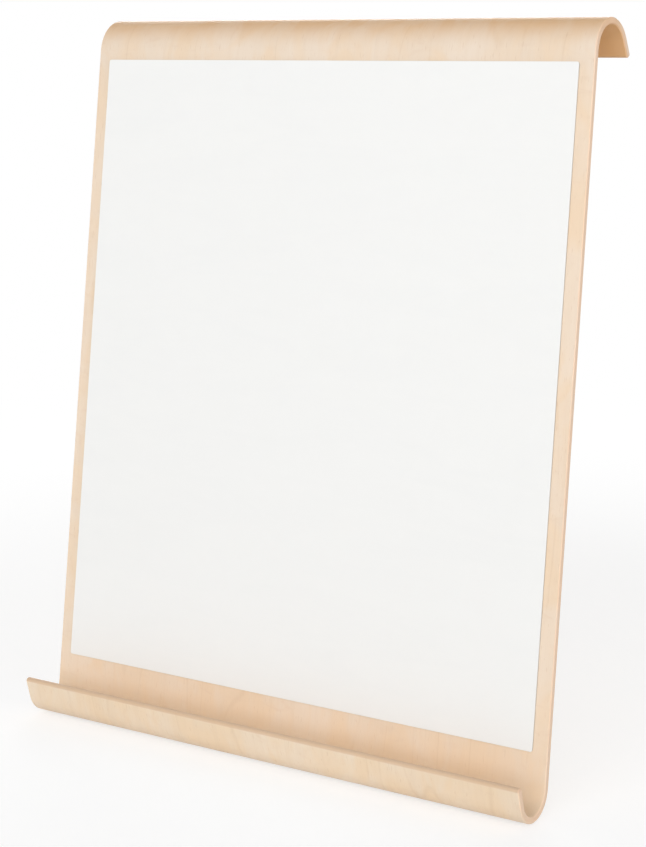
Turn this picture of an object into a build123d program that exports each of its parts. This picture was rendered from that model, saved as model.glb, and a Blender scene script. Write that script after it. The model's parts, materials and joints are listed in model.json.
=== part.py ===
from build123d import *
from math import cos, radians, sin
import os

# A desk easel for notes: one moulded plywood board rolled into a pen tray at the foot and a hook
# at the head, a magnetic writing sheet bonded to its front, and a hinged leg behind it.
# Millimetres. X to the right seen from the front, Y to the back, Z up, desk at Z = 0. The origin is
# under the middle of the easel's box.

# Moulded plywood shell
shell_width = 266.7
ply_thickness = 3.0
wall_height = 308.6  # straight part, from the end of the tray's bend to the start of the hook's
lean = 7.6  # degrees back from upright
tray_inside_radius = 9.3
tray_wrap = 157
tray_lip_length = 9.7
hook_inside_radius = 12.7
hook_wrap = 146
hook_lip_length = 8.7
lip_flat = 0.4  # left between the two roundings of a lip's end
edge_easing = 0.4

# Writing sheet and the film that bonds it
sheet_thickness = 0.5
sheet_side_margin = 6.9
sheet_foot_margin = 14.6  # above the tray's bend
sheet_head_margin = 5.0  # below the hook's bend
sheet_corner_radius = 1.0
film_thickness = 0.2
film_inset = 1.0

# Hinge
hinge_height = 205.0  # pin above the tray's bend, along the wall
hinge_length = 50.0
leaf_thickness = 0.9
leaf_reach = 21.0
leaf_corner_radius = 4.0
knuckle_count = 5
knuckle_radius = 2.0
knuckle_gap = 0.3
pin_radius = 1.1
pin_head_radius = 1.7
pin_head_length = 0.6
pin_tight_fit = 0.01
pin_running_fit = 0.06

# Rivets, three to a leaf in a zigzag
rivet_radius = 1.5
rivet_fit = 0.05
rivet_spacing = 17.0
rivet_near_row = 8.5  # below the pin
rivet_far_row = 15.5
countersink_radius = 2.8
countersink_depth = 1.2
set_head_radius = 2.8
set_head_crown_radius = 1.5
set_head_height = 0.8

# Leg
leg_opening = 24.0  # degrees between the leg and the wall when it bears on its stop
leg_thickness = 5.0
leg_top_width = 60.0
leg_foot_width = 84.0
leg_corner_radius = 7.0
heel_length = 17.0  # above the pin; its slanted face is the stop

# Rubber feet
boot_wall = 1.5
boot_sole = 2.4
boot_height = 11.0
boot_rounding = 1.0
pad_lift = 0.6  # rubber under the tray's lowest line
pad_length = 26.0
pad_depth = 7.0
pad_front = -0.5  # from the tray's lowest line
pad_corner_radius = 2.0
pad_inset = 16.0
pad_glue = 0.05

tray_outside_radius = tray_inside_radius + ply_thickness
pin_offset = knuckle_radius + knuckle_gap
sheet_width = shell_width - 2 * sheet_side_margin
sheet_height = wall_height - sheet_foot_margin - sheet_head_margin

# The wall's frame has y = 0 on its back and z = 0 at the end of the tray's bend. The leg's frame has
# the pin as its origin, with z up the leg and y away from the wall.
wall_z = pad_lift + tray_outside_radius * (1 - sin(radians(lean)))
wall_place = Pos(0, 0, wall_z) * Rot(-lean, 0, 0)
pin_place = wall_place * Pos(0, pin_offset, hinge_height)
leg_lean = leg_opening - lean
leg_place = Pos(pin_place.position) * Rot(leg_lean, 0, 0)


def rolled_face(y, head_radius, foot_radius):
    """One face of the bent board, from the hook's lip to the tray's lip, as edges in the side view."""
    wall = Line((y, 0), (y, wall_height))
    hook = JernArc(wall @ 1, (0, 1), head_radius, -hook_wrap)
    hook_lip = Line(hook @ 1, hook @ 1 + (hook % 1) * hook_lip_length)
    tray = JernArc(wall @ 0, (0, -1), foot_radius, -tray_wrap)
    tray_lip = Line(tray @ 1, tray @ 1 + (tray % 1) * tray_lip_length)
    return [hook_lip, hook, wall, tray, tray_lip]


def rivet(grip, fit=0.0):
    """A rivet along +Z, or its hole: the countersunk head is flush with z = 0, the set head is past grip."""
    outline = Polyline(
        (0, 0),
        (countersink_radius + fit, 0),
        (rivet_radius + fit, countersink_depth),
        (rivet_radius + fit, grip),
        (set_head_radius, grip),
        (set_head_crown_radius, grip + set_head_height),
        (0, grip + set_head_height),
        close=True,
    )
    return revolve(Plane.XZ * make_face(outline), Axis.Z)


def panel_rivets(fit=0.0):
    """Through the wall and its leaf, in the wall's frame."""
    spots = [(-rivet_spacing, rivet_far_row), (0, rivet_near_row), (rivet_spacing, rivet_far_row)]
    places = [Pos(x, -ply_thickness, hinge_height - below) * Rot(-90, 0, 0) for x, below in spots]
    return Compound([(place * rivet(ply_thickness + leaf_thickness, fit)).solid() for place in places])


def leg_rivets(fit=0.0):
    """Through the leg and its leaf, in the leg's frame."""
    spots = [(-rivet_spacing, rivet_near_row), (0, rivet_far_row), (rivet_spacing, rivet_near_row)]
    places = [Pos(x, pin_offset + leg_thickness, -below) * Rot(90, 0, 0) for x, below in spots]
    return Compound([(place * rivet(leg_thickness + leaf_thickness, fit)).solid() for place in places])


def plywood_shell():
    """The bent board in the wall's frame, with countersunk holes for the hinge's rivets."""
    back = rolled_face(0, hook_inside_radius, tray_outside_radius)
    front = rolled_face(-ply_thickness, hook_inside_radius + ply_thickness, tray_inside_radius)
    hook_end = Line(back[0] @ 1, front[0] @ 1)
    tray_end = Line(back[-1] @ 1, front[-1] @ 1)
    side = make_face(back + front + [hook_end, tray_end])
    corners = [hook_end @ 0, hook_end @ 1, tray_end @ 0, tray_end @ 1]
    lip_rounding = (ply_thickness - lip_flat) / 2
    side = fillet([side.vertices().sort_by_distance(corner)[0] for corner in corners], lip_rounding)
    shell = extrude(Plane.YZ * side, shell_width / 2, both=True)
    ends = shell.faces().filter_by(Axis.X).sort_by(Axis.X)
    shell = chamfer(ends[0].edges() + ends[-1].edges(), edge_easing)
    return shell - panel_rivets(rivet_fit).solids()


def on_wall(width, height, thickness, behind):
    """A flat sheet on the wall's front, with so much thickness behind it, in the wall's frame."""
    outline = Plane.XZ * RectangleRounded(width, height, sheet_corner_radius)
    middle = sheet_foot_margin + sheet_height / 2
    return Pos(0, -ply_thickness - behind, middle) * extrude(outline, thickness)


def whiteboard_sheet():
    return on_wall(sheet_width, sheet_height, sheet_thickness, film_thickness)


def adhesive_film():
    return on_wall(sheet_width - 2 * film_inset, sheet_height - 2 * film_inset, film_thickness, 0)


def hinge_leaf(side, first_knuckle, bore_fit):
    """A leaf that hangs from the pin, flat against what lies on that side (-1 the wall, 1 the leg)."""
    pitch = (hinge_length + knuckle_gap) / knuckle_count
    turns = [(i - (knuckle_count - 1) / 2) * pitch for i in range(knuckle_count)]
    own = turns[first_knuckle::2]
    others = turns[1 - first_knuckle :: 2]
    plate = Plane.XZ * Pos(0, -leaf_reach / 2) * Rectangle(hinge_length, leaf_reach)
    plate = extrude(plate, leaf_thickness / 2, both=True)
    low_corners = plate.edges().filter_by(Axis.Y).group_by(Axis.Z)[0]
    leaf = Pos(0, side * (pin_offset - leaf_thickness / 2), 0) * fillet(low_corners, leaf_corner_radius)
    slot = 2 * (knuckle_radius + knuckle_gap)
    for x in others:
        leaf -= Pos(x, 0, 0) * Box(pitch + knuckle_gap, 3 * pin_offset, slot)
    for x in own:
        leaf += Pos(x, 0, 0) * Rot(0, 90, 0) * Cylinder(knuckle_radius, pitch - knuckle_gap)
    return leaf - Rot(0, 90, 0) * Cylinder(pin_radius + bore_fit, 2 * hinge_length)


def hinge_panel_leaf():
    """In the wall's frame."""
    leaf = Pos(0, pin_offset, hinge_height) * hinge_leaf(-1, 0, pin_tight_fit)
    return leaf - panel_rivets(rivet_fit).solids()


def hinge_leg_leaf():
    """In the leg's frame."""
    return hinge_leaf(1, 1, pin_running_fit) - leg_rivets(rivet_fit).solids()


def hinge_pin():
    """Along X through the knuckles, peened over at both ends."""
    half = hinge_length / 2
    outline = Polyline(
        (0, 0),
        (0, half + pin_head_length),
        (pin_head_radius / 2, half + pin_head_length),
        (pin_head_radius, half + pin_head_length / 3),
        (pin_head_radius, half),
        (pin_radius, half),
        (pin_radius, 0),
        close=True,
    )
    pin_half = revolve(Plane.XZ * make_face(outline), Axis.Z)
    return Rot(0, 90, 0) * (pin_half + mirror(pin_half, Plane.XY))


def above_desk(y, height):
    """Where in the leg's frame a point that far in front of the pin lies at a height above the desk."""
    drop = pin_place.position.Z - height + y * sin(radians(leg_lean))
    return y, -drop / cos(radians(leg_lean))


def leg_board():
    """The plywood leg, tapered, with a slanted heel above the pin that lies flat on the wall when open."""
    near, far = pin_offset, pin_offset + leg_thickness

    def stop(y):
        return (pin_offset + y * cos(radians(leg_opening))) / sin(radians(leg_opening))

    tip = (heel_length * sin(radians(leg_opening)) - pin_offset) / cos(radians(leg_opening))
    side = Polyline(
        above_desk(near, boot_sole),
        (near, stop(near)),
        (tip, heel_length),
        (far, heel_length),
        above_desk(far, boot_sole),
        close=True,
    )
    leg = extrude(Plane.YZ * make_face(side), leg_foot_width, both=True) & leg_outline(0)
    near_face, far_face = leg.faces().filter_by(Axis.Y).sort_by(Axis.Y)
    near_sides = near_face.edges().filter_by(Axis.X, reverse=True)
    leg = chamfer(near_sides + far_face.edges().sort_by(Axis.Z)[1:], edge_easing)
    return leg - leg_rivets(rivet_fit).solids()


def leg_outline(margin):
    """The leg seen from behind, widened by a margin, as a block that cuts the leg or its boot to shape."""
    foot = above_desk(pin_offset + leg_thickness, 0)[1]
    taper = (leg_foot_width - leg_top_width) / 2 / (heel_length - foot)
    low = foot - boot_wall
    top, bottom = leg_top_width / 2 + margin, leg_top_width / 2 + margin + taper * (heel_length - low)
    outline = make_face(Polyline((-bottom, low), (-top, heel_length), (top, heel_length), (bottom, low), close=True))
    outline = fillet(outline.vertices().group_by(Axis.Y)[-1], leg_corner_radius)
    return extrude(Plane.XZ * outline, leg_foot_width, both=True)


def leg_foot():
    """A rubber boot on the leg's lower end, flat on the desk."""
    near, far = pin_offset - boot_wall, pin_offset + leg_thickness + boot_wall
    top = above_desk(pin_offset, boot_sole)[1] + boot_height
    side = make_face(Polyline(above_desk(near, 0), (near, top), (far, top), above_desk(far, 0), close=True))
    boot = extrude(Plane.YZ * side, leg_foot_width, both=True) & leg_outline(boot_wall)
    return fillet(boot.edges(), boot_rounding) - leg_board()


def tray_foot(side):
    """A rubber pad under the tray's back half: flat on the desk, hollowed to the tray above."""
    tray_y = -tray_outside_radius * cos(radians(lean))
    middle = tray_y + pad_front + pad_depth / 2
    pad = Pos(side * (shell_width / 2 - pad_inset - pad_length / 2), middle, 0) * extrude(
        RectangleRounded(pad_length, pad_depth, pad_corner_radius), tray_outside_radius
    )
    bowl = Cylinder(tray_outside_radius + pad_glue, 2 * shell_width)
    return pad - Pos(0, tray_y, tray_outside_radius + pad_lift) * Rot(0, 90, 0) * bowl


parts = {
    "plywood_shell": wall_place * plywood_shell(),
    "whiteboard_sheet": wall_place * whiteboard_sheet(),
    "adhesive_film": wall_place * adhesive_film(),
    "hinge_panel_leaf": wall_place * hinge_panel_leaf(),
    "panel_rivets": wall_place * panel_rivets(),
    "hinge_pin": pin_place * hinge_pin(),
    "hinge_leg_leaf": leg_place * hinge_leg_leaf(),
    "leg_rivets": leg_place * leg_rivets(),
    "leg_board": leg_place * leg_board(),
    "leg_foot": leg_place * leg_foot(),
    "tray_foot_left": tray_foot(-1),
    "tray_foot_right": tray_foot(1),
}

boxes = [piece.bounding_box() for piece in parts.values()]
front, back = min(box.min.Y for box in boxes), max(box.max.Y for box in boxes)
to_origin = Pos(0, -(front + back) / 2, 0)
os.makedirs("parts", exist_ok=True)
for name, piece in parts.items():
    export_step(to_origin * piece, f"parts/{name}.step")

print("depth", back - front, "hinge axis", (to_origin * pin_place).position)
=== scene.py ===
import json
import math

import bpy
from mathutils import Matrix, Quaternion, Vector

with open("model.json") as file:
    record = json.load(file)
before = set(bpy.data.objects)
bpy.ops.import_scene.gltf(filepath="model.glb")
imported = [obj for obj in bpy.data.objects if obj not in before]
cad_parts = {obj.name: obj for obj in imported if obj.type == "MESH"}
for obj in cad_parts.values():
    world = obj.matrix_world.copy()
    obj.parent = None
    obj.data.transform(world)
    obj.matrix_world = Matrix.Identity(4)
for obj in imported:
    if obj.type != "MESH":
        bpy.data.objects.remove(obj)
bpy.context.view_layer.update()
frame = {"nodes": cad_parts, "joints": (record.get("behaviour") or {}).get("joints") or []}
nodes = frame["nodes"]


# ---------------------------------------------------------------------------------------------
# Plywood shell: five maple veneers of 0.6 mm, glued crosswise and pressed hot in a mould into a
# pen tray at the foot and a hook at the head, then trimmed, eased along its edges and lacquered.
# The face grain runs up the board and goes round both bends with it.

lean = math.radians(7.6)
ply_thickness = 3.0  # mm, as are the shell's other sizes here
shell_plies = 5
wall_height = 308.6
hinge_height = 205.0  # the pin above the end of the tray's bend, along the wall
hinge_offset = 2.3  # the pin behind the wall
tray_radius = 12.3  # on the outside
tray_lip = 9.7  # straight, past the bend
hook_radius = 12.7  # on the inside
hook_lip = 8.7

hinge_axis = Vector(frame["joints"][0]["pos_m"])
up_the_wall = Vector((0, math.sin(lean), math.cos(lean))) / 1000
back_from_wall = Vector((0, math.cos(lean), -math.sin(lean))) / 1000
wall_foot = hinge_axis - hinge_height * up_the_wall - hinge_offset * back_from_wall
tray_bend = {
    "centre": wall_foot - tray_radius * back_from_wall,
    "from": -lean,
    "wrap": math.radians(157),
    "radius": tray_radius - ply_thickness / 2,
}
hook_bend = {
    "centre": wall_foot + wall_height * up_the_wall + hook_radius * back_from_wall,
    "from": math.pi - lean,
    "wrap": math.radians(146),
    "radius": hook_radius + ply_thickness / 2,
}

pale_maple = (0.86, 0.718, 0.58, 1)
tan_maple = (0.81, 0.648, 0.49, 1)
warm_maple = (0.85, 0.66, 0.475, 1)
flamed_maple = (0.77, 0.58, 0.43, 1)
streaked_maple = (0.74, 0.56, 0.40, 1)
year_line = (0.66, 0.47, 0.31, 1)
fibre_shade = (0.70, 0.52, 0.36, 1)
pore_fleck = (0.62, 0.42, 0.27, 1)
end_grain_maple = (0.78, 0.57, 0.42, 1)
cured_glue = (0.62, 0.42, 0.29, 1)
soaked_maple = (0.97, 0.655, 0.45, 1)
# Painted shade, round the hook and in the tray's bend
painted_shade_maple = (0.736, 0.442, 0.211, 1)
# Painted shade inside the hook
painted_shade_inside_hook = (0.70, 0.40, 0.17, 1)
# Painted light low on the wall and inside the tray
painted_light_in_tray = (0.98, 0.77, 0.545, 1)
sawn_maple = (0.66, 0.45, 0.29, 1)
yellower_shell = (1.0, 1.0, 0.97, 1)  # this and the next one tint the wood under them
greyer_head = (0.965, 0.98, 1.0, 1)

grain_depth = 0.0001  # m


def shade(tree, kind, sockets, **settings):
    """Adds one shader node, with its settings made and its sockets filled by values or other sockets."""
    made = tree.nodes.new("ShaderNode" + kind)
    for name, setting in settings.items():
        setattr(made, name, setting)
    for key, value in sockets.items():
        if isinstance(value, bpy.types.NodeSocket):
            tree.links.new(value, made.inputs[key])
        else:
            made.inputs[key].default_value = value
    return made


def maths(tree, operation, *values):
    sockets = dict(enumerate(values))
    return shade(tree, "Math", sockets, operation=operation).outputs[0]


def ramp(tree, value, low, high, to_low=0.0, to_high=1.0):
    """A value eased from to_low to to_high as it goes from low to high."""
    sockets = {"Value": value, "From Min": low, "From Max": high, "To Min": to_low, "To Max": to_high}
    return shade(tree, "MapRange", sockets, interpolation_type="SMOOTHSTEP").outputs["Result"]


def blend(tree, share, first, second, how="MIX"):
    """One colour laid over another."""
    mixed = shade(tree, "Mix", {0: share, 6: first, 7: second}, data_type="RGBA", blend_type=how)
    return mixed.outputs[2]


def noise(tree, vector, scale, detail=2.0, roughness=0.5, distortion=0.0):
    sockets = {"Vector": vector, "Scale": scale, "Detail": detail, "Roughness": roughness}
    return shade(tree, "TexNoise", {**sockets, "Distortion": distortion}).outputs["Fac"]


def stretched(tree, across, along, depth, squeeze):
    """Grain coordinates: lengthwise distances count for less, so a pattern draws out along the fibres."""
    shorter = maths(tree, "MULTIPLY", along, squeeze)
    return shade(tree, "CombineXYZ", {0: across, 1: shorter, 2: depth}).outputs[0]


def finish_of(name):
    """A new material with its shader, and the object's own coordinates in it."""
    material = bpy.data.materials.new(name)
    material.use_nodes = True
    tree = material.node_tree
    shader = tree.nodes["Principled BSDF"]
    place = shade(tree, "TexCoord", {})
    return material, tree, shader, place


def emboss(tree, shader, height, strength, deepest):
    """Presses a pattern into the surface, to a depth in metres."""
    bump = shade(tree, "Bump", {"Height": height, "Strength": strength, "Distance": deepest})
    tree.links.new(bump.outputs[0], shader.inputs["Normal"])


def dress(material, *pieces):
    for piece in pieces:
        nodes[piece].material_slots[0].material = material


def unrolled(tree, place, bend):
    """Distance out from a bend's axis and distance along the sheet from the bend's middle, in mm.

    The straight runs on both sides of the bend are followed too, so a lip or a wall has them as well.
    """
    half = bend["wrap"] / 2
    turn = bend["from"] - half
    sockets = {
        "Vector": place,
        "Location": bend["centre"],
        "Rotation": (turn, 0, 0),
        "Scale": (0.001, 0.001, -0.001),
    }
    local = shade(tree, "Mapping", sockets, vector_type="TEXTURE").outputs[0]
    split = shade(tree, "SeparateXYZ", {0: local})
    angle = maths(tree, "ARCTAN2", split.outputs[2], split.outputs[1])
    angle = shade(tree, "Clamp", {"Value": angle, "Min": -half, "Max": half}).outputs[0]
    sockets = {"Vector": local, "Angle": angle}
    facing = shade(tree, "VectorRotate", sockets, rotation_type="X_AXIS", invert=True).outputs[0]
    split = shade(tree, "SeparateXYZ", {0: facing})
    along = maths(tree, "MULTIPLY_ADD", angle, bend["radius"], split.outputs[2])
    return split.outputs[1], along


def shell_coordinates(tree, place):
    """Across the board, along it from the end of the tray's bend, and into it from its front, in mm."""
    tray_out, tray_along = unrolled(tree, place, tray_bend)
    tray_middle = -tray_bend["wrap"] / 2 * tray_bend["radius"]
    tray_along = maths(tree, "SUBTRACT", tray_middle, tray_along)
    tray_depth = maths(tree, "SUBTRACT", tray_out, tray_bend["radius"] - ply_thickness / 2)
    hook_out, hook_along = unrolled(tree, place, hook_bend)
    hook_middle = wall_height + hook_bend["wrap"] / 2 * hook_bend["radius"]
    hook_along = maths(tree, "ADD", hook_middle, hook_along)
    hook_depth = maths(tree, "SUBTRACT", hook_bend["radius"] + ply_thickness / 2, hook_out)
    split = shade(tree, "SeparateXYZ", {0: place})
    across = maths(tree, "MULTIPLY", split.outputs[0], 1000)
    halfway_up = 0.16  # m: above it the hook's coordinates hold, and below it the tray's
    upper = maths(tree, "GREATER_THAN", split.outputs[2], halfway_up)
    along = shade(tree, "Mix", {0: upper, 2: tray_along, 3: hook_along}).outputs[0]
    depth = shade(tree, "Mix", {0: upper, 2: tray_depth, 3: hook_depth}).outputs[0]
    return across, along, depth


def lacquered_maple(tree, shader, across, along, depth, veneer, plies):
    """Maple plywood under satin lacquer. Returns its colour, for what the piece adds to it."""
    ply = maths(tree, "FLOOR", maths(tree, "DIVIDE", depth, veneer))
    ply = shade(tree, "Clamp", {"Value": ply, "Min": 0, "Max": plies - 1}).outputs[0]
    cross = maths(tree, "MODULO", ply, 2)
    fibre_across = shade(tree, "Mix", {0: cross, 2: across, 3: along}).outputs[0]
    fibre_along = shade(tree, "Mix", {0: cross, 2: along, 3: across}).outputs[0]
    between_logs = 61  # mm, so that no veneer repeats its neighbour's figure
    own_log = maths(tree, "MULTIPLY_ADD", ply, between_logs, depth)

    broad = noise(tree, stretched(tree, fibre_across, fibre_along, own_log, 0.25), 0.030, 2, 0.5, 0.6)
    hue = noise(tree, stretched(tree, fibre_across, fibre_along, own_log, 0.5), 0.055, 3, 0.55, 0.8)
    flame = noise(tree, stretched(tree, fibre_along, fibre_across, own_log, 0.35), 0.16, 2, 0.5, 1.5)
    streaks = noise(tree, stretched(tree, fibre_across, fibre_along, own_log, 0.03), 0.33, 3, 0.6)
    fibres = noise(tree, stretched(tree, fibre_across, fibre_along, own_log, 0.05), 2.6, 3, 0.65)
    flecks = noise(tree, stretched(tree, fibre_across, fibre_along, own_log, 0.16), 1.3, 1, 0.5)
    years = noise(tree, stretched(tree, fibre_across, fibre_along, own_log, 0.10), 0.026, 1, 0.4, 0.3)
    years = maths(tree, "PINGPONG", maths(tree, "MULTIPLY", years, 9), 0.5)

    colour = blend(tree, ramp(tree, broad, 0.3, 0.7, 0, 0.55), pale_maple, tan_maple)
    colour = blend(tree, ramp(tree, hue, 0.38, 0.68, 0, 0.85), colour, warm_maple)
    colour = blend(tree, ramp(tree, flame, 0.55, 0.8, 0, 0.30), colour, flamed_maple)
    colour = blend(tree, ramp(tree, streaks, 0.45, 0.75, 0, 0.16), colour, streaked_maple)
    how_dark = ramp(tree, hue, 0.4, 0.6, 0.03, 0.20)
    year_share = maths(tree, "MULTIPLY", ramp(tree, years, 0.06, 0.0), how_dark)
    colour = blend(tree, year_share, colour, year_line)
    colour = blend(tree, ramp(tree, fibres, 0.5, 0.8, 0, 0.22), colour, fibre_shade)
    colour = blend(tree, ramp(tree, flecks, 0.66, 0.74, 0, 0.25), colour, pore_fleck)

    end_grain = blend(tree, ramp(tree, fibres, 0.3, 0.8, 0.3, 0.8), colour, end_grain_maple)
    colour = blend(tree, maths(tree, "MULTIPLY", cross, 0.6), colour, end_grain)
    seam = maths(tree, "PINGPONG", maths(tree, "DIVIDE", depth, veneer), 0.5)
    last_seam = veneer * plies - 0.2
    past_face = ramp(tree, depth, 0.2, 0.5)
    before_back = ramp(tree, depth, last_seam, last_seam - 0.3)
    within = maths(tree, "MULTIPLY", past_face, before_back)
    glue = maths(tree, "MULTIPLY", ramp(tree, seam, 0.09, 0.02, 0, 0.45), within)
    colour = blend(tree, glue, colour, cured_glue)

    relief = maths(tree, "MULTIPLY_ADD", streaks, 0.6, fibres)
    relief = maths(tree, "SUBTRACT", relief, ramp(tree, flecks, 0.66, 0.74, 0, 0.5))
    emboss(tree, shader, relief, 0.12, grain_depth)
    tree.links.new(ramp(tree, fibres, 0.2, 0.8, 0.40, 0.52), shader.inputs["Roughness"])
    shader.inputs["Coat Weight"].default_value = 0.06
    shader.inputs["Coat Roughness"].default_value = 0.38
    shader.inputs["Specular IOR Level"].default_value = 0.22
    return colour


def soaked_sides(tree, place, colour):
    """Sawn and sanded sides soak up more lacquer than a veneer's face and go warmer, unevenly."""
    sideways = shade(tree, "SeparateXYZ", {0: place.outputs["Normal"]}).outputs[0]
    sideways = ramp(tree, maths(tree, "ABSOLUTE", sideways), 0.4, 0.8)
    soaked = ramp(tree, noise(tree, place.outputs["Object"], 90, 3), 0.3, 0.7, 0.3, 0.6)
    return blend(tree, maths(tree, "MULTIPLY", sideways, soaked), colour, soaked_maple)


maple_shell, tree, shader, place = finish_of("maple_shell")
across, along, depth = shell_coordinates(tree, place.outputs["Object"])
veneer = ply_thickness / shell_plies
colour = lacquered_maple(tree, shader, across, along, depth, veneer, shell_plies)
# The back veneer is from a yellower log, and the face veneer is greyer towards the head.
last_seam = ply_thickness - veneer
back_veneer = ramp(tree, depth, last_seam - 0.1, last_seam + 0.1)
colour = blend(tree, back_veneer, colour, yellower_shell, "MULTIPLY")
face_veneer = ramp(tree, depth, veneer + 0.1, veneer - 0.1)
near_head = ramp(tree, along, wall_height - 30, wall_height - 5)
head = maths(tree, "MULTIPLY", near_head, face_veneer)
colour = blend(tree, head, colour, greyer_head, "MULTIPLY")
# Painted shade: the board is darker and browner, unevenly, round the hook's bend, most at its crown,
# which faces up away from the light, and a little in the tray's bend.
in_hook = ramp(tree, along, wall_height, wall_height + 17)
before_hook_lip = ramp(tree, along, wall_height + 39, wall_height + 20)
painted_shade_on_hook = maths(tree, "MULTIPLY", maths(tree, "MULTIPLY", in_hook, before_hook_lip), 0.95)
in_tray = ramp(tree, along, -2, -15)
before_tray_lip = ramp(tree, along, -34, -16)
painted_shade_in_tray = maths(tree, "MULTIPLY", maths(tree, "MULTIPLY", in_tray, before_tray_lip), 0.14)
painted_shade_in_bends = maths(tree, "MAXIMUM", painted_shade_on_hook, painted_shade_in_tray)
painted_shade_mottle = noise(tree, stretched(tree, across, along, depth, 0.6), 0.07, 3, 0.6, 0.8)
painted_shade_in_bends = maths(tree, "MULTIPLY", painted_shade_in_bends, ramp(tree, painted_shade_mottle, 0.35, 0.65, 0.72, 1))
colour = blend(tree, painted_shade_in_bends, colour, painted_shade_maple)
# Painted light: a paler, warmer face low on the wall and inside the tray, against the shade in the tray's
# crease.
inside_tray = maths(tree, "MULTIPLY", ramp(tree, along, 12, -8), face_veneer)
colour = blend(tree, maths(tree, "MULTIPLY", inside_tray, 0.5), colour, painted_light_in_tray)
# Painted shade, darkest of all, inside the hook's hollow, where shade falls.
inside_hook = maths(tree, "MULTIPLY", in_hook, back_veneer)
colour = blend(tree, maths(tree, "MULTIPLY", inside_hook, 0.8), colour, painted_shade_inside_hook)
# The tray's lip and the hook's end are sawn across the grain, so their edges drink in the most.
lip_end = -tray_bend["wrap"] * tray_bend["radius"] - tray_lip
hook_end = wall_height + hook_bend["wrap"] * hook_bend["radius"] + hook_lip
at_lip_end = ramp(tree, along, lip_end + 1.5, lip_end + 0.6)
at_hook_end = ramp(tree, along, hook_end - 1.5, hook_end - 0.6)
sawn_end = maths(tree, "MAXIMUM", at_lip_end, at_hook_end)
colour = blend(tree, maths(tree, "MULTIPLY", sawn_end, 0.75), colour, sawn_maple)
tree.links.new(soaked_sides(tree, place, colour), shader.inputs["Base Color"])
dress(maple_shell, "plywood_shell")


# ---------------------------------------------------------------------------------------------
# Adhesive film: a clear double-sided film, 0.2 mm, rolled on behind the writing sheet and cut 1 mm
# short of it all round. Only its edge can be seen, in the shadow line under the sheet.

hazy_film = (0.74, 0.73, 0.69, 1)
clear_film = (0.84, 0.83, 0.80, 1)


def colour_and_gloss(tree, shader, colour, roughness):
    tree.links.new(colour, shader.inputs["Base Color"])
    tree.links.new(roughness, shader.inputs["Roughness"])


bonding_film, tree, shader, place = finish_of("bonding_film")
rolling = noise(tree, place.outputs["Object"], 400, 3)
haze = blend(tree, rolling, hazy_film, clear_film)
colour_and_gloss(tree, shader, haze, ramp(tree, rolling, 0.2, 0.8, 0.25, 0.45))
dress(bonding_film, "adhesive_film")


# ---------------------------------------------------------------------------------------------
# Writing sheet: 0.5 mm steel with a gloss white dry-erase enamel on its face, sheared to size with
# a 1 mm corner. The cut edge shows the grey steel under the enamel.

fresh_enamel = (0.885, 0.885, 0.871, 1)
wiped_enamel = (0.868, 0.870, 0.860, 1)
bare_steel = (0.66, 0.65, 0.62, 1)
orange_peel_depth = 0.0003  # m

white_enamel, tree, shader, place = finish_of("white_enamel")
spot = place.outputs["Object"]
out_of_the_face = (0, -math.cos(lean), math.sin(lean))
sockets = {0: place.outputs["Normal"], 1: out_of_the_face}
facing = shade(tree, "VectorMath", sockets, operation="DOT_PRODUCT").outputs["Value"]
cut_edge = ramp(tree, facing, 0.75, 0.45)
sockets = {"Vector": spot, "Rotation": (0, 0.5, 0), "Scale": (14, 14, 70)}
wiped = shade(tree, "Mapping", sockets).outputs[0]
smears = noise(tree, wiped, 1.0, 4, 0.6, 1.2)
sockets = {"Vector": spot, "Rotation": (0, -0.9, 0), "Scale": (60, 60, 2600)}
rubbed = shade(tree, "Mapping", sockets).outputs[0]
scuffs = noise(tree, rubbed, 1.0, 2, 0.5)
colour = blend(tree, ramp(tree, smears, 0.35, 0.75, 0, 0.5), fresh_enamel, wiped_enamel)
colour = blend(tree, cut_edge, colour, bare_steel)
smeared_gloss = ramp(tree, smears, 0.3, 0.8, 0.10, 0.20)
gloss = maths(tree, "ADD", smeared_gloss, ramp(tree, scuffs, 0.62, 0.75, 0, 0.08))
gloss = maths(tree, "ADD", gloss, maths(tree, "MULTIPLY", cut_edge, 0.3))
colour_and_gloss(tree, shader, colour, gloss)
shader.inputs["Specular IOR Level"].default_value = 0.35
orange_peel = noise(tree, spot, 320, 2, 0.4)
emboss(tree, shader, orange_peel, 0.05, orange_peel_depth)
dress(white_enamel, "whiteboard_sheet")


# ---------------------------------------------------------------------------------------------
# Hinge leaves: 0.9 mm steel strip, cut, bored and rolled into knuckles, then zinc plated bright.
# One leaf is riveted to the board's back and the other to the leg.

dull_zinc = (0.60, 0.61, 0.62, 1)
bright_zinc = (0.74, 0.74, 0.73, 1)
drawing_mark = (0.45, 0.45, 0.45, 1)
mark_depth = 0.00003  # m

zinc_plate, tree, shader, place = finish_of("zinc_plate")
spot = place.outputs["Object"]
rolled = shade(tree, "Mapping", {"Vector": spot, "Scale": (60, 4000, 4000)}).outputs[0]
drawn = noise(tree, rolled, 1.0, 3, 0.6)
spangle = noise(tree, spot, 260, 3, 0.6, 0.5)
colour = blend(tree, ramp(tree, spangle, 0.3, 0.7), dull_zinc, bright_zinc)
colour = blend(tree, ramp(tree, drawn, 0.5, 0.8, 0, 0.35), colour, drawing_mark)
colour_and_gloss(tree, shader, colour, ramp(tree, drawn, 0.2, 0.8, 0.22, 0.42))
shader.inputs["Metallic"].default_value = 1
emboss(tree, shader, drawn, 0.15, mark_depth)
dress(zinc_plate, "hinge_panel_leaf", "hinge_leg_leaf")


# ---------------------------------------------------------------------------------------------
# Hinge pin and rivets: drawn steel wire, headed and barrel plated, so they are tumbled smooth and a
# shade brighter than the leaves, with fine dents from the barrel and the rivet set.

dull_plating = (0.64, 0.64, 0.64, 1)
bright_plating = (0.78, 0.78, 0.77, 1)
dent_depth = 0.00005  # m

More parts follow.
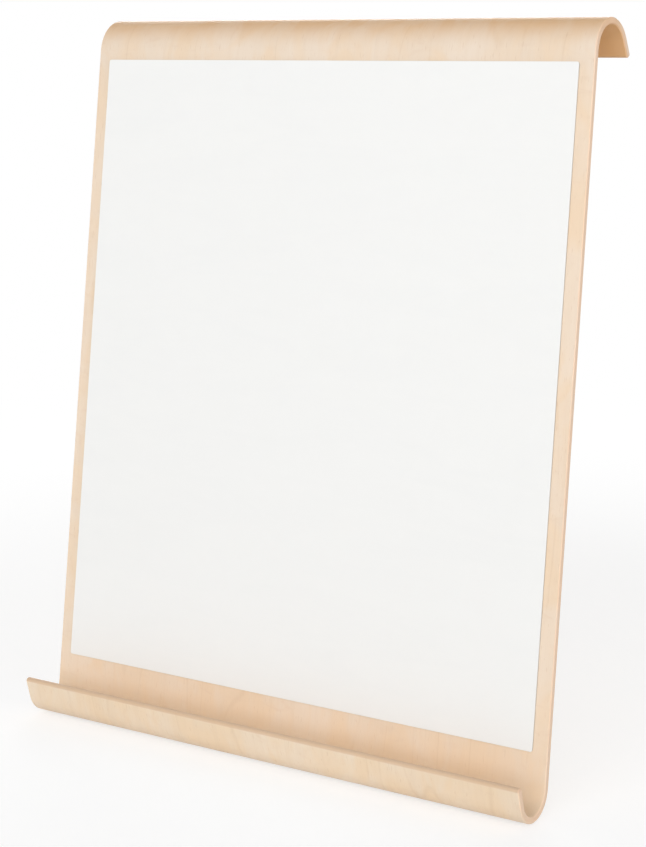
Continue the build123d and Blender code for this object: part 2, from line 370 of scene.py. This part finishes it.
tumbled_steel, tree, shader, place = finish_of("tumbled_steel")
spot = place.outputs["Object"]
dents = noise(tree, spot, 1400, 3, 0.6)
dulled = noise(tree, spot, 300, 2)
colour = blend(tree, ramp(tree, dulled, 0.3, 0.7), dull_plating, bright_plating)
colour_and_gloss(tree, shader, colour, ramp(tree, dents, 0.3, 0.7, 0.18, 0.32))
shader.inputs["Metallic"].default_value = 1
emboss(tree, shader, dents, 0.2, dent_depth)
dress(tumbled_steel, "hinge_pin", "panel_rivets", "leg_rivets")


# ---------------------------------------------------------------------------------------------
# Leg: 5 mm flat maple plywood of the same make, sawn to a taper with rounded top corners. Its top
# edge is sawn on a slant and bears on the board's back when the leg stands open.

leg_lean = math.radians(24) - lean
leg_thickness = 5.0  # mm
leg_plies = 5
leg_log = 700  # mm further up the grain than the shell's wood
yellower_leg = (1.0, 1.0, 0.96, 1)

maple_leg, tree, shader, place = finish_of("maple_leg")
sockets = {
    "Vector": place.outputs["Object"],
    "Location": hinge_axis,
    "Rotation": (leg_lean, 0, 0),
    "Scale": (0.001, 0.001, 0.001),
}
on_leg = shade(tree, "Mapping", sockets, vector_type="TEXTURE").outputs[0]
split = shade(tree, "SeparateXYZ", {0: on_leg})
across = split.outputs[0]
along = maths(tree, "ADD", split.outputs[2], leg_log)
depth = maths(tree, "SUBTRACT", split.outputs[1], hinge_offset)
veneer = leg_thickness / leg_plies
colour = lacquered_maple(tree, shader, across, along, depth, veneer, leg_plies)
# Both of its faces are from the same yellower log as the board's back.
from_middle = maths(tree, "ABSOLUTE", maths(tree, "SUBTRACT", depth, leg_thickness / 2))
to_outer_seam = leg_thickness / 2 - veneer
both_faces = ramp(tree, from_middle, to_outer_seam - 0.1, to_outer_seam + 0.1)
colour = blend(tree, both_faces, colour, yellower_leg, "MULTIPLY")
tree.links.new(soaked_sides(tree, place, colour), shader.inputs["Base Color"])
dress(maple_leg, "leg_board")


# ---------------------------------------------------------------------------------------------
# Rubber feet: a moulded boot pushed over the leg's end and two pads glued under the tray. Dark
# rubber from a spark-finished mould: matt, fine-grained, and greyer where it bears on the desk.

black_rubber = (0.030, 0.030, 0.031, 1)
bloomed_rubber = (0.062, 0.061, 0.059, 1)
worn_rubber = (0.11, 0.108, 0.104, 1)
wear_height = 0.0012  # m above the desk
pebble_depth = 0.00012  # m

moulded_rubber, tree, shader, place = finish_of("moulded_rubber")
spot = place.outputs["Object"]
pebbles = noise(tree, spot, 2400, 3, 0.6)
bloom = noise(tree, spot, 120, 3, 0.6)
colour = blend(tree, ramp(tree, bloom, 0.3, 0.8), black_rubber, bloomed_rubber)
above_desk = shade(tree, "SeparateXYZ", {0: spot}).outputs[2]
worn = ramp(tree, above_desk, wear_height, 0.0, 0, 0.6)
colour = blend(tree, worn, colour, worn_rubber)
colour_and_gloss(tree, shader, colour, ramp(tree, pebbles, 0.2, 0.8, 0.62, 0.82))
emboss(tree, shader, pebbles, 0.35, pebble_depth)
dress(moulded_rubber, "leg_foot", "tray_foot_left", "tray_foot_right")


# ---------------------------------------------------------------------------------------------
# Studio: a matt white table that fades into a white surround, an even pale surround light, a large
# soft lamp in front, a weaker one to the right and one behind. None of it is part of the easel.

table_radius = 3.0  # m
fade_from = 0.25  # m from under the easel's middle
fade_to = 0.9
table_shade = (0.93, 0.93, 0.93, 1)
table_light = (0.95, 0.95, 0.95, 1)
surround_white = (1, 1, 1, 1)
light_from_level = 0.525
light_from_above = 0.30
lamps_aim = (0, 0, 0.15)  # m, about the middle of the board


def seen_or_mirrored(tree):
    """1 for what is seen straight, mirrored or through glass, and 0 for light that falls on the easel."""
    ray = shade(tree, "LightPath", {})
    seen = maths(tree, "MAXIMUM", ray.outputs["Is Camera Ray"], ray.outputs["Is Glossy Ray"])
    return maths(tree, "MAXIMUM", seen, ray.outputs["Is Transmission Ray"])


bpy.ops.mesh.primitive_circle_add(vertices=96, radius=table_radius, fill_type="NGON", location=(0, 0, 0))
table = bpy.context.object
table.name = "studio_table"
white_table, tree, shader, place = finish_of("white_table")
spot = place.outputs["Object"]
colour = blend(tree, noise(tree, spot, 60, 3), table_shade, table_light)
tree.links.new(colour, shader.inputs["Base Color"])
shader.inputs["Roughness"].default_value = 0.9
shader.inputs["Specular IOR Level"].default_value = 0.1
distance = shade(tree, "VectorMath", {0: spot}, operation="LENGTH").outputs["Value"]
glow = shade(tree, "Emission", {"Strength": ramp(tree, distance, fade_from, fade_to, 1.18, 1)})
faded = ramp(tree, distance, fade_from, fade_to, 0.55, 1)
share = maths(tree, "MULTIPLY", faded, seen_or_mirrored(tree))
mixed = shade(tree, "MixShader", {0: share, 1: shader.outputs[0], 2: glow.outputs[0]})
tree.links.new(mixed.outputs[0], tree.nodes["Material Output"].inputs["Surface"])
table.data.materials.append(white_table)

surround = bpy.data.worlds.new("white_surround")
bpy.context.scene.world = surround
surround.use_nodes = True
tree = surround.node_tree
direction = shade(tree, "TexCoord", {}).outputs["Generated"]
upwards = shade(tree, "SeparateXYZ", {0: direction}).outputs[2]
lit = ramp(tree, upwards, 0.0, 1.0, light_from_level, light_from_above)
level = shade(tree, "Mix", {0: seen_or_mirrored(tree), 2: lit, 3: 1.0}).outputs[0]
tree.links.new(level, tree.nodes["Background"].inputs["Strength"])
tree.nodes["Background"].inputs["Color"].default_value = surround_white


def soft_lamp(name, place, size, watts):
    light = bpy.data.lights.new(name, "AREA")
    light.shape = "RECTANGLE"
    light.size = size[0]
    light.size_y = size[1]
    light.energy = watts
    lamp = bpy.data.objects.new(name, light)
    bpy.context.scene.collection.objects.link(lamp)
    lamp.location = place
    lamp.rotation_mode = "QUATERNION"
    lamp.rotation_quaternion = (Vector(lamps_aim) - Vector(place)).to_track_quat("-Z", "Y")


soft_lamp("front_lamp", (0.7, -3.05, 1.45), (3.6, 2.8), 67.5)
soft_lamp("side_lamp", (3.0, -1.0, 1.0), (1.8, 1.6), 17.0)
soft_lamp("back_lamp", (-1.6, 2.7, 0.9), (2.0, 1.4), 42.0)


# ---------------------------------------------------------------------------------------------
# Camera: a long lens at the height of the board's head, to the easel's right, looking a little down.
# The film is shifted, so the lens's axis passes above the picture's middle.

lens_in_pixels = 2001
principal_point = (350, 277)
picture = (646, 847)
film_height = 36  # mm
eye = (0.5038, -0.7552, 0.3249)  # m
turn = math.radians(33.11)
dip = math.radians(6.95)
roll = math.radians(-0.29)

camera_data = bpy.data.cameras.new("camera")
camera_data.sensor_width = film_height
camera_data.lens = film_height * lens_in_pixels / picture[1]
camera_data.shift_x = (picture[0] / 2 - principal_point[0]) / picture[1]
camera_data.shift_y = (principal_point[1] - picture[1] / 2) / picture[1]
camera = bpy.data.objects.new("camera", camera_data)
bpy.context.scene.collection.objects.link(camera)
camera.location = eye
camera.rotation_mode = "QUATERNION"
level = Quaternion((0, 0, 1), turn) @ Quaternion((1, 0, 0), math.pi / 2 - dip)
camera.rotation_quaternion = level @ Quaternion((0, 0, 1), roll)
bpy.context.scene.camera = camera

bpy.context.scene.view_settings.view_transform = "Standard"
